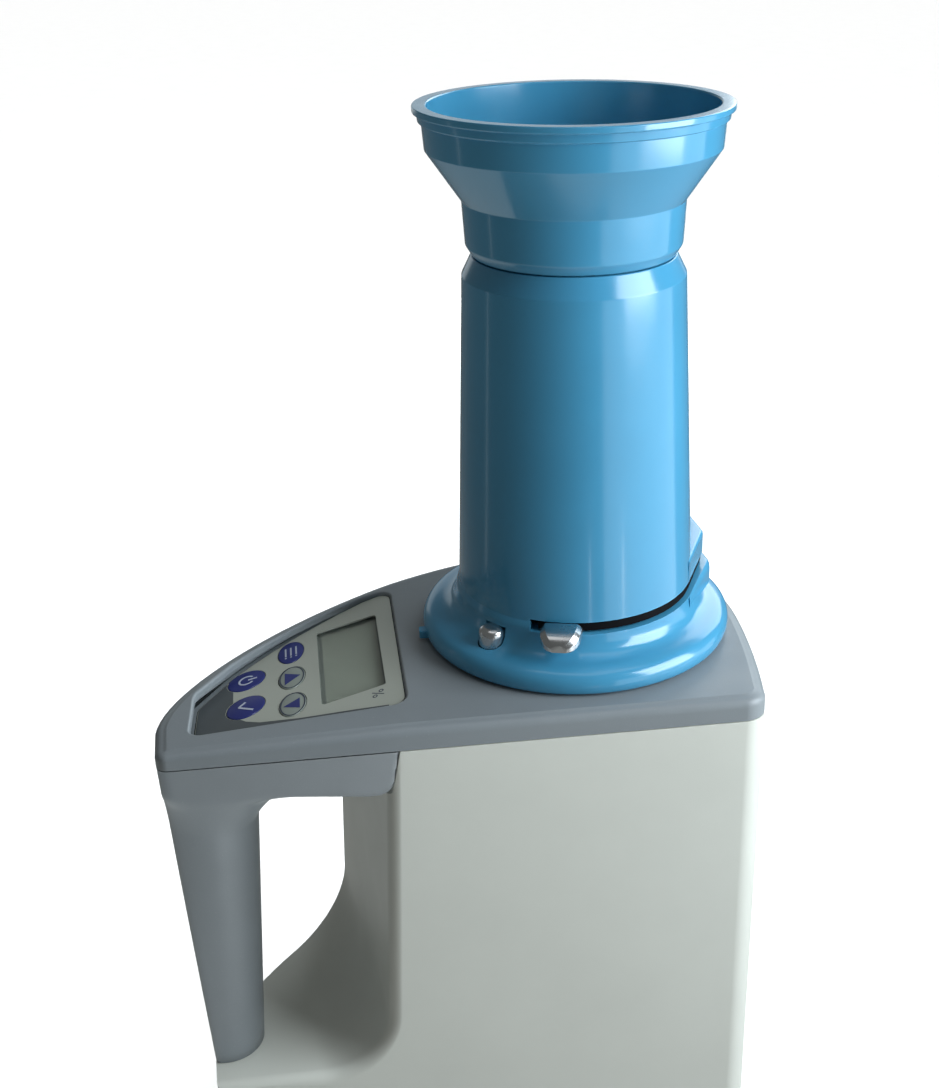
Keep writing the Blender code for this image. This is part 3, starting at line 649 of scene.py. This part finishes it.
def mark(name, parts, centre, body, mat, lift=0.2):
    """A thin printed mark on the panel or a key; parts are closed outlines in the panel's lean."""
    bm = bmesh.new()
    for outline in parts:
        ring = [lean(centre, u, v) for u, v in outline]
        shape = prism(ring, above_panel(lift), above_panel(lift + 0.06))
        mesh = bpy.data.meshes.new("part")
        clean(shape).to_mesh(mesh)
        shape.free()
        bm.from_mesh(mesh)
        bpy.data.meshes.remove(mesh)
    return piece(name, bm, mat, body, weighted=False)


def ring_parts(radius_x, radius_y, width, first=0.0, last=360.0, count=40):
    """A printed ring or part of one, as short outlines."""
    parts = []
    turn = [math.radians(first + (last - first) * i / count) for i in range(count + 1)]
    for a, b in zip(turn, turn[1:]):
        parts.append([(math.cos(a) * radius_x, math.sin(a) * radius_y),
                      (math.cos(b) * radius_x, math.sin(b) * radius_y),
                      (math.cos(b) * (radius_x - width), math.sin(b) * (radius_y - width)),
                      (math.cos(a) * (radius_x - width), math.sin(a) * (radius_y - width))])
    return parts


def bar(x0, y0, x1, y1, width):
    """The outline of a straight stroke."""
    d = Vector((x1 - x0, y1 - y0)).normalized() * width / 2
    return [(x0 + d.y, y0 - d.x), (x1 + d.y, y1 - d.x), (x1 - d.y, y1 + d.x), (x0 - d.y, y0 + d.x)]


ARROWS = {"up": [(-2.6, 4.3), (-2.7, -4.2), (3.2, 0.0)], "down": [(2.5, -4.1), (2.6, 2.9), (-3.5, -0.1)]}


def panel():
    sheet = prism(recess_outline(-0.4), above_panel(-0.7), above_panel(0.0))
    cuts = [("DIFFERENCE", prism(leaning_oval(c, a, b, 0.3), -20, 20)) for c, a, b in KEYS.values()]
    sheet = merge(sheet, *cuts, ("DIFFERENCE", prism(window_outline(0.0, 1.2), -20, 20)))
    piece("panel_sheet", sheet, OVERLAY, "main_unit", ["keypad_overlay"], bevel=0.12)
    # Dark print over the panel's left end, and a strip along the near edge that tapers to the right; the strip
    # is painted shade from the recess's front wall.
    edge = [(-150, 40), (-134.4, 40), (-134.2, -4.9), (-132.9, -32.1), (-132.9, -37.0), (-131.3, -41.4),
            (-127.6, -44.8), (-122.5, -47.0), (-108.0, -48.9), (-86.5, -49.8), (-76.0, -50.6), (-76.0, -60),
            (-150, -70)][::-1]
    print_and_shade = merge(prism(edge, above_panel(0.0), above_panel(0.05)),
                 ("INTERSECT", prism(recess_outline(-0.6), -20, 20)), *[
        ("DIFFERENCE", prism(leaning_oval(c, a, b, 0.45), -20, 20)) for c, a, b in KEYS.values()])
    piece("print_and_painted_shade", print_and_shade, PRINT_AND_SHADE, "main_unit", weighted=False)
    # A black ring below the sheet's face, in the gap round the panel sheet: painted shade for that gap.
    gap_shade = merge(prism(recess_outline(-0.02), above_panel(-1.05), above_panel(-0.25)),
                   ("DIFFERENCE", prism(recess_outline(-0.38), -20, 20)))
    piece("gap_shade_ring", gap_shade, BLACK, "main_unit", weighted=False)
    glass = window_outline(1.8)
    lens = piece("display_lens", prism(glass, above_panel(-2.0), above_panel(-1.05)), LENS, "main_unit",
                 ["lcd_window"], sharp=10.0, weighted=False)
    lens.visible_shadow = False
    piece("display_cell", prism(glass, above_panel(-5.4), above_panel(-2.4)), LCD, "main_unit",
          ["lcd_module"], sharp=10.0, weighted=False)
    # The display's dark border is four strips just above it.
    left, right = -WINDOW_HALF_X + 1.9, WINDOW_HALF_X - 0.6
    near, far = -WINDOW_HALF_Y + 0.5, WINDOW_HALF_Y - 1.2
    side, end = WINDOW_HALF_X + 0.9, WINDOW_HALF_Y + 0.9
    strips = ((-side, left, -end, end), (right, side, -end, end),
              (left, right, -end, near), (left, right, far, end))
    mark("display_mask", [[(u0, v0), (u1, v0), (u1, v1), (u0, v1)] for u0, u1, v0, v1 in strips],
         WINDOW_CENTRE, "main_unit", MASK, -2.3)
    for name, (centre, a, b) in KEYS.items():
        body = "key_" + name
        pale = name in ("up", "down")
        low, high = above_panel(-0.3), 0.4
        loops = [[(x, y, panel_height(x) + h) for x, y in leaning_oval(centre, a, b, g)]
                 for g, h in ((0.0, -0.3), (0.0, 0.02), (-0.08, 0.13), (-0.3, 0.18))]
        stem = prism(circle(centre, 2.0, 24), above_panel(-3.9), above_panel(0.0))
        cap = merge(loft(loops), ("UNION", stem))
        piece("cap_" + name, cap, KEY_PALE if pale else KEY_BLUE, body, [body], weighted=False)
        if pale:
            mark("ring_" + name, ring_parts(a - 0.25, b - 0.3, 0.45), centre, body, INK_DARK)
            mark("arrow_" + name, [ARROWS[name]], centre, body, KEY_BLUE)
    power, confirm, variety = (KEYS[k][0] for k in ("power", "confirm", "variety"))
    mark("icon_power", ring_parts(3.1, 3.1, 0.75, 38, 322, 30) + [bar(0.6, 0, 3.9, 0, 0.75)], power,
         "key_power", INK_PALE)
    mark("icon_confirm", [bar(-0.2, 3.4, -2.6, 1.0, 0.85), bar(-2.6, 1.0, 2.6, -3.4, 0.85)], confirm,
         "key_confirm", INK_PALE)
    rows = [bar(u, -2.6, u, 3.6, 0.6) for u in (-2.0, 0.0, 2.0)]
    dots = [bar(u, -4.1, u, -3.4, 0.7) for u in (-2.0, 0.0, 2.0)]
    mark("icon_variety", rows + dots, variety, "key_variety", INK_PALE)
    percent = (-79.6, -41.4)
    circles = [[(u + cu, v + cv) for u, v in part] for cu, cv in ((1.2, 1.3), (-1.2, -1.3))
               for part in ring_parts(0.95, 0.95, 0.4, count=16)]
    mark("percent_sign", circles + [bar(-2.1, 1.5, 2.1, -1.5, 0.4)], percent, "main_unit", INK_DARK, 0.0)


# ---------------------------------------------------------------- drop cylinder, funnel and gate

def smooth_curve(points, count=5):
    """Points on a smooth curve through the given ones."""
    result = []
    ends = [points[0]] + list(points) + [points[-1]]
    for p0, p1, p2, p3 in zip(ends, ends[1:], ends[2:], ends[3:]):
        for i in range(count):
            t = i / count
            result.append(tuple(0.5 * (2 * b + (c - a) * t + (2 * a - 5 * b + 4 * c - d) * t * t
                                       + (3 * b - a - 3 * c + d) * t ** 3)
                                for a, b, c, d in zip(p0, p1, p2, p3)))
    return result + [points[-1]]


def slot_reach(bearing):
    """How far out the plate's edge passes on a bearing while it swings out."""
    along = Vector((math.cos(math.radians(bearing)), math.sin(math.radians(bearing))))
    reach = 0.0
    for turn in range(0, int(GATE_TURN), 2):
        shift = Vector(PIVOT) - Vector(PIVOT) @ Matrix.Rotation(math.radians(-turn), 2)
        inside = shift.dot(along) ** 2 - shift.length_squared + (GATE_R + 0.6) ** 2
        if inside > 0:
            reach = max(reach, shift.dot(along) + math.sqrt(inside))
    return tuple(along * reach)


def hopper():
    foot = smooth_curve([(57.7, 9.35), (59.5, 10.5), (60.1, 13.0), (59.6, 15.6), (58.0, 17.6),
                         (55.5, 18.7), (51.5, 19.6), (48.9, 21.0), (47.3, 23.2), (46.5, 26.0),
                         (46.2, 28.6), (45.2, 31.0)], 4)
    rest = [(40.15, 149.6), (36.6, 156.7), (35.0, 156.7), (36.0, 150.0), (39.0, 36.0), (39.0, 4.6),
            (42.1, 4.6), (42.1, 12.5), (44.5, 14.8), (53.5, 14.8), (56.0, 12.5), (56.0, 9.35)]
    radii = [0] * len(foot) + [1.4, 0.5, 0.5, 0, 0, 0.3, 0.3, 0, 0, 0, 0, 0.3]
    body = lathe(rounded(foot + rest, radii, 7), 160)
    upper = [(0.0, SLOT_HIGH - 1.0)] + [(1.4 * (1 - math.cos(a)), 39.1 + 1.4 * math.sin(a))
                                        for a in np.linspace(0, math.pi / 2, 5)]
    lower = [(-3.2, 14.0), (-3.2, 24.4), (-3.0, 25.8), (-2.5, 26.9), (-1.7, 27.6), (-0.8, SLOT_LOW),
             (-0.8, SLOT_LOW + 1.0)]
    for levels in (upper, lower):
        lug = rounded(LUG, LUG_RADII, 9)[::-1]
        shape = loft([[(x, y, z) for x, y in inset(lug, d)[::-1]] for d, z in levels])
        body = merge(body, ("UNION", merge(shape, ("DIFFERENCE", rod((0, 0), 41.0, 0, 60, 160)))))
    key_plan = rounded([(-62.2, -9.0), (-56.5, -9.0), (-56.5, -4.8), (-62.2, -4.8)], [0.9, 0, 0, 0.9])
    slot_plan = [(0.0, 0.0)] + [slot_reach(a) for a in range(-147, -117, 3)]
    slot_plan += arc((0, 0), 75, TAB_ANGLE - 13, 47, 24)
    body = merge(body, ("UNION", prism(key_plan, 10.8, 13.8)),
                 ("DIFFERENCE", prism(slot_plan, SLOT_LOW, SLOT_HIGH)),
                 ("DIFFERENCE", rod((0, 0), GATE_R + 0.7, SLOT_LOW, SLOT_HIGH, 160)),
                 ("DIFFERENCE", rod(PIVOT, 2.4, 22.0, 60, 24)),
                 ("DIFFERENCE", rod(BUTTON_AT, BUTTON_R + 0.4, 5, 26.4, 40)))
    piece("cylinder_body", body, BLUE, "drop_cylinder", ["drop_cylinder"], sharp=38.0,
          bevel=0.45, segments=3)


def funnel():
    points = [(55.0, 208.1), (55.0, 205.9), (53.5, 205.6), (53.2, 202.9), (52.0, 202.5), (51.35, 193.4),
              (39.3, 175.9), (38.5, 160.6), (36.4, 157.2), (34.4, 157.2), (34.0, 141.0), (32.0, 141.0),
              (32.4, 157.0), (36.4, 174.8), (49.0, 192.6), (50.1, 208.1)]
    radii = [0.45, 0.5, 0.2, 0.4, 0.2, 0.8, 0.9, 2.0, 0.5, 0.3, 0.5, 0.5, 2.0, 3.0, 3.0, 0.6]
    piece("funnel_body", lathe(rounded(points, radii, 6), 160), BLUE, "funnel", ["funnel"],
          sharp=38.0)


def gate_parts():
    def sector(radius, first, last):
        return prism([(0.0, 0.0)] + arc((0, 0), radius, first, last, 60), GATE_LOW, GATE_HIGH)

    flank = prism(inset(rounded(LUG, LUG_RADII, 9)[::-1], 0.7)[::-1], GATE_LOW, GATE_HIGH)
    blade = merge(rod((0, 0), GATE_R, GATE_LOW, GATE_HIGH, 160), ("UNION", sector(44.7, -116.6, -14)),
                  ("UNION", merge(flank, ("INTERSECT", sector(70, -60, 36)))),
                  ("DIFFERENCE", rod(PIVOT, 2.3, 20, 40, 24)))
    # The blade's near-black stands partly for shade in the slot.
    piece("gate_blade", blade, SLOT_SHADE_BLADE, "gate", ["gate_plate"], sharp=35.0, bevel=0.25)
    out = Vector((math.cos(math.radians(TAB_ANGLE)), math.sin(math.radians(TAB_ANGLE))))
    side = Vector((-out.y, out.x))
    stations = smooth_curve([(46.6, 27.8, 32.2, 7.7), (50.5, 27.5, 32.3, 7.5), (53.6, 27.0, 31.7, 6.9),
                             (55.5, 26.5, 30.7, 5.9), (56.7, 26.1, 29.6, 4.5), (57.3, 26.0, 28.7, 2.9)], 4)
    loops = []
    for r, low, high, half in stations:
        bite = min(1.6, (high - low) * 0.4)
        ring = rounded([(-half, low), (half, low), (half, high - bite), (half - 1.9, high),
                        (-half + 1.9, high), (-half, high - bite)], [0.5] * 6, 4)
        loops.append([(*(out * r + side * s), z) for s, z in ring])
    pocket = [out * r + side * s for r, s in ((44, -4.35), (53.4, -4.35), (53.4, 4.35), (44, 4.35))]
    fit = ("DIFFERENCE", prism([tuple(p) for p in pocket], GATE_LOW - 0.1, GATE_HIGH + 0.1))
    tab = merge(loft(loops), fit)
    piece("thumb_tab", tab, STEEL, "gate", ["gate_tab"], sharp=50.0, bevel=0.2)
    head = [(BUTTON_R, 23.2), (4.85, 24.5), (4.3, 25.5), (3.2, 26.2), (1.7, 26.5), (0, 26.6)]
    knob = [(0, 12.2), (BUTTON_R, 12.2)] + smooth_curve(head, 3)
    piece("button_knob", lathe(knob, 56, BUTTON_AT), STEEL, "release_button", ["release_button"],
          sharp=50.0)


housing()
handle()
top_cover()
panel()
hopper()
funnel()
gate_parts()

# CAD nodes that keep their shape take detailed materials and softened edges.
FINISHES = {
    "gate_pin": STEEL, "chamber_collar": BLACK, "chamber_base": BLACK, "base_plate": BLACK,
    "battery_door": BLACK, "battery_holder": BLACK, "keypad_board": BOARD, "main_board": BOARD,
    "outer_electrode": ALUMINIUM, "inner_electrode": STEEL, "temperature_probe": STEEL,
    "load_cell": ALUMINIUM, "load_cell_bracket": ALUMINIUM, "handle_screw": STEEL,
}
for name, obj in nodes.items():
    mat = FINISHES.get(name)
    for prefix, choice in (("switch_", BLACK), ("battery_", CELL), ("foot_", RUBBER), ("base_screw", STEEL),
                           ("cover_screw", STEEL)):
        if mat is None and name.startswith(prefix):
            mat = choice
    if mat is None:
        continue
    obj.data.materials.clear()
    obj.data.materials.append(mat)
    edge = obj.modifiers.new("edge", "BEVEL")
    edge.width, edge.segments, edge.angle_limit = 0.0002, 2, math.radians(40)

# ---------------------------------------------------------------- stage, light and camera

FLOOR_REACH, DOME_REACH = 40, 12.0
floor_mesh = bpy.data.meshes.new("floor")
floor_mesh.from_pydata([(FLOOR_REACH * a, FLOOR_REACH * b, 0) for a, b in ((-1, -1), (1, -1), (1, 1), (-1, 1))],
                       [], [(0, 1, 2, 3)])
floor = bpy.data.objects.new("floor", floor_mesh)
bpy.context.scene.collection.objects.link(floor)
floor_mesh.materials.append(surface("pale_floor", (0.88, 0.88, 0.88), 0.9, tone=0.01, grain=400.0, bump=0.02))

# A pale shell round the stage, seen only by the camera, gives every side view a pale background.
dome_mesh = bpy.data.meshes.new("backdrop")
dome_shape = bmesh.new()
bmesh.ops.create_uvsphere(dome_shape, u_segments=64, v_segments=32, radius=DOME_REACH)
dome_shape.to_mesh(dome_mesh)
dome_shape.free()
dome = bpy.data.objects.new("backdrop", dome_mesh)
bpy.context.scene.collection.objects.link(dome)
paper = surface("pale_backdrop", (0.88, 0.88, 0.88), 0.9, tone=0.01, grain=400.0, bump=0.0)
paper.node_tree.nodes["Principled BSDF"].inputs["Emission Strength"].default_value = 1.0
paper.cycles.emission_sampling = "NONE"
dome_mesh.materials.append(paper)
for item in (floor, dome):
    item.visible_diffuse = item.visible_glossy = item.visible_shadow = False
dome.visible_transmission = False

def lamp(name, kind, **values):
    data = bpy.data.lights.new(name, kind)
    for key, value in values.items():
        setattr(data, key, value)
    obj = bpy.data.objects.new(name, data)
    obj.visible_camera = False
    bpy.context.scene.collection.objects.link(obj)
    return obj


def softbox(name, place, width, tall, power, colour=(1, 1, 1), level=False):
    """An area light at a place given in metres from the seam's middle, turned to the object."""
    obj = lamp(name, "AREA", shape="RECTANGLE", size=width, size_y=tall, energy=power, color=colour)
    obj.location = ORIGIN + Vector(place)
    aim = Vector((0, 0, 0.05)) - Vector(place)
    if level:
        aim.z = 0.0
    obj.rotation_euler = aim.to_track_quat("-Z", "Y").to_euler()
    return obj


def around(turn, distance, height):
    """A place on a circle about the object; 0 degrees is in front, positive to the right."""
    return math.sin(math.radians(turn)) * distance, -math.cos(math.radians(turn)) * distance, height


COOL = (0.86, 0.95, 1.0)
key = softbox("window", (0.50, -0.30, 0.25), 0.45, 0.5, 7.0, COOL)
low = softbox("window_low", around(62, 1.0, -0.28), 1.9, 0.9, 7.6, COOL, level=True)
softbox("window_left", around(-104, 1.3, -0.25), 0.05, 1.3, 0.16, COOL, level=True)
fill = softbox("fill_back", around(192, 1.2, -0.22), 1.1, 0.5, 5.0, COOL, level=True)
fill.visible_glossy = False
softbox("window_back", (0.7, 0.92, 0.62), 0.9, 0.6, 6.0, COOL)
behind = softbox("wall_behind", (0.1, 1.3, 0.25), 1.7, 0.5, 1.5, COOL, level=True)
low.visible_diffuse = behind.visible_diffuse = False
softbox("ceiling", (0.1, -0.1, 1.3), 0.9, 0.9, 2.2)
softbox("glint_front", around(5, 0.85, -0.34), 0.02, 0.2, 0.05, level=True)
softbox("glint_right", around(37, 0.85, -0.34), 0.03, 0.2, 0.08, level=True)

# The floor has its own even light, so that it stays pale all round.
only_floor = bpy.data.collections.new("floor_light")
only_floor.objects.link(floor)
for name, energy, shadow in (("floor_even", 2.4, False), ("floor_soft", 0.9, True)):
    sun = lamp(name, "SUN", energy=energy, angle=math.radians(70), use_shadow=shadow)
    sun.light_linking.receiver_collection = only_floor

# The grip is kept out of the main light and lit from the front instead.
grip = bpy.data.objects["handle_grip"]
front = softbox("front", (0.08, -0.75, -0.22), 0.2, 0.5, 2.3, COOL)
gloss = softbox("front_gloss", (0.25, -0.72, -0.16), 0.12, 0.4, 5.5, COOL)
gloss.visible_diffuse = False
for light, state in ((key, "EXCLUDE"), (front, "INCLUDE"), (gloss, "INCLUDE")):
    group = bpy.data.collections.new(light.name + "_grip")
    group.objects.link(grip)
    group.collection_objects[0].light_linking.link_state = state
    light.light_linking.receiver_collection = group

# The room is brighter below than above, as over a pale table.
world = bpy.data.worlds.new("room")
bpy.context.scene.world = world
world.use_nodes = True
tree = world.node_tree
height = node(tree, "ShaderNodeSeparateXYZ")
tree.links.new(node(tree, "ShaderNodeTexCoord").outputs["Generated"], height.inputs["Vector"])
level = node(tree, "ShaderNodeMapRange")
for key, value in (("From Min", -0.95), ("From Max", -0.35), ("To Min", 0.85), ("To Max", 0.12)):
    level.inputs[key].default_value = value
tree.links.new(height.outputs["Z"], level.inputs["Value"])
tree.links.new(level.outputs["Result"], tree.nodes["Background"].inputs["Strength"])
tree.nodes["Background"].inputs["Color"].default_value = (0.96, 1.0, 0.97, 1.0)

# The camera's place, turn and lens, as fitted to the photo's circles and edges.
PHOTO_WIDE, PHOTO_TALL, FOCAL_PX, CENTRE_PX = 939, 1088, 1436.7, 540.2
PITCH, ROLL, HEADING = (math.radians(a) for a in (25.18, -0.81, -7.57))
ahead = Vector((-math.sin(HEADING) * math.cos(PITCH), math.cos(HEADING) * math.cos(PITCH), -math.sin(PITCH)))
across = Vector((math.cos(HEADING), math.sin(HEADING), 0.0))
up = across.cross(ahead)
right = across * math.cos(ROLL) + up * math.sin(ROLL)
top = -across * math.sin(ROLL) + up * math.cos(ROLL)
view = bpy.data.cameras.new("view")
view.sensor_fit, view.sensor_width = "AUTO", 36.0
view.lens = FOCAL_PX / PHOTO_TALL * view.sensor_width
view.shift_x, view.shift_y = (PHOTO_WIDE / 2 - CENTRE_PX) / PHOTO_TALL, 0.0
view.clip_start = 0.01
camera = bpy.data.objects.new("camera", view)
turn = Matrix((right, top, -ahead)).transposed().to_4x4()
camera.matrix_world = Matrix.Translation(Vector((-79.72, -498.03, 279.42)) * MM + ORIGIN) @ turn
bpy.context.scene.collection.objects.link(camera)
bpy.context.scene.camera = camera
bpy.context.scene.view_settings.view_transform = "Standard"
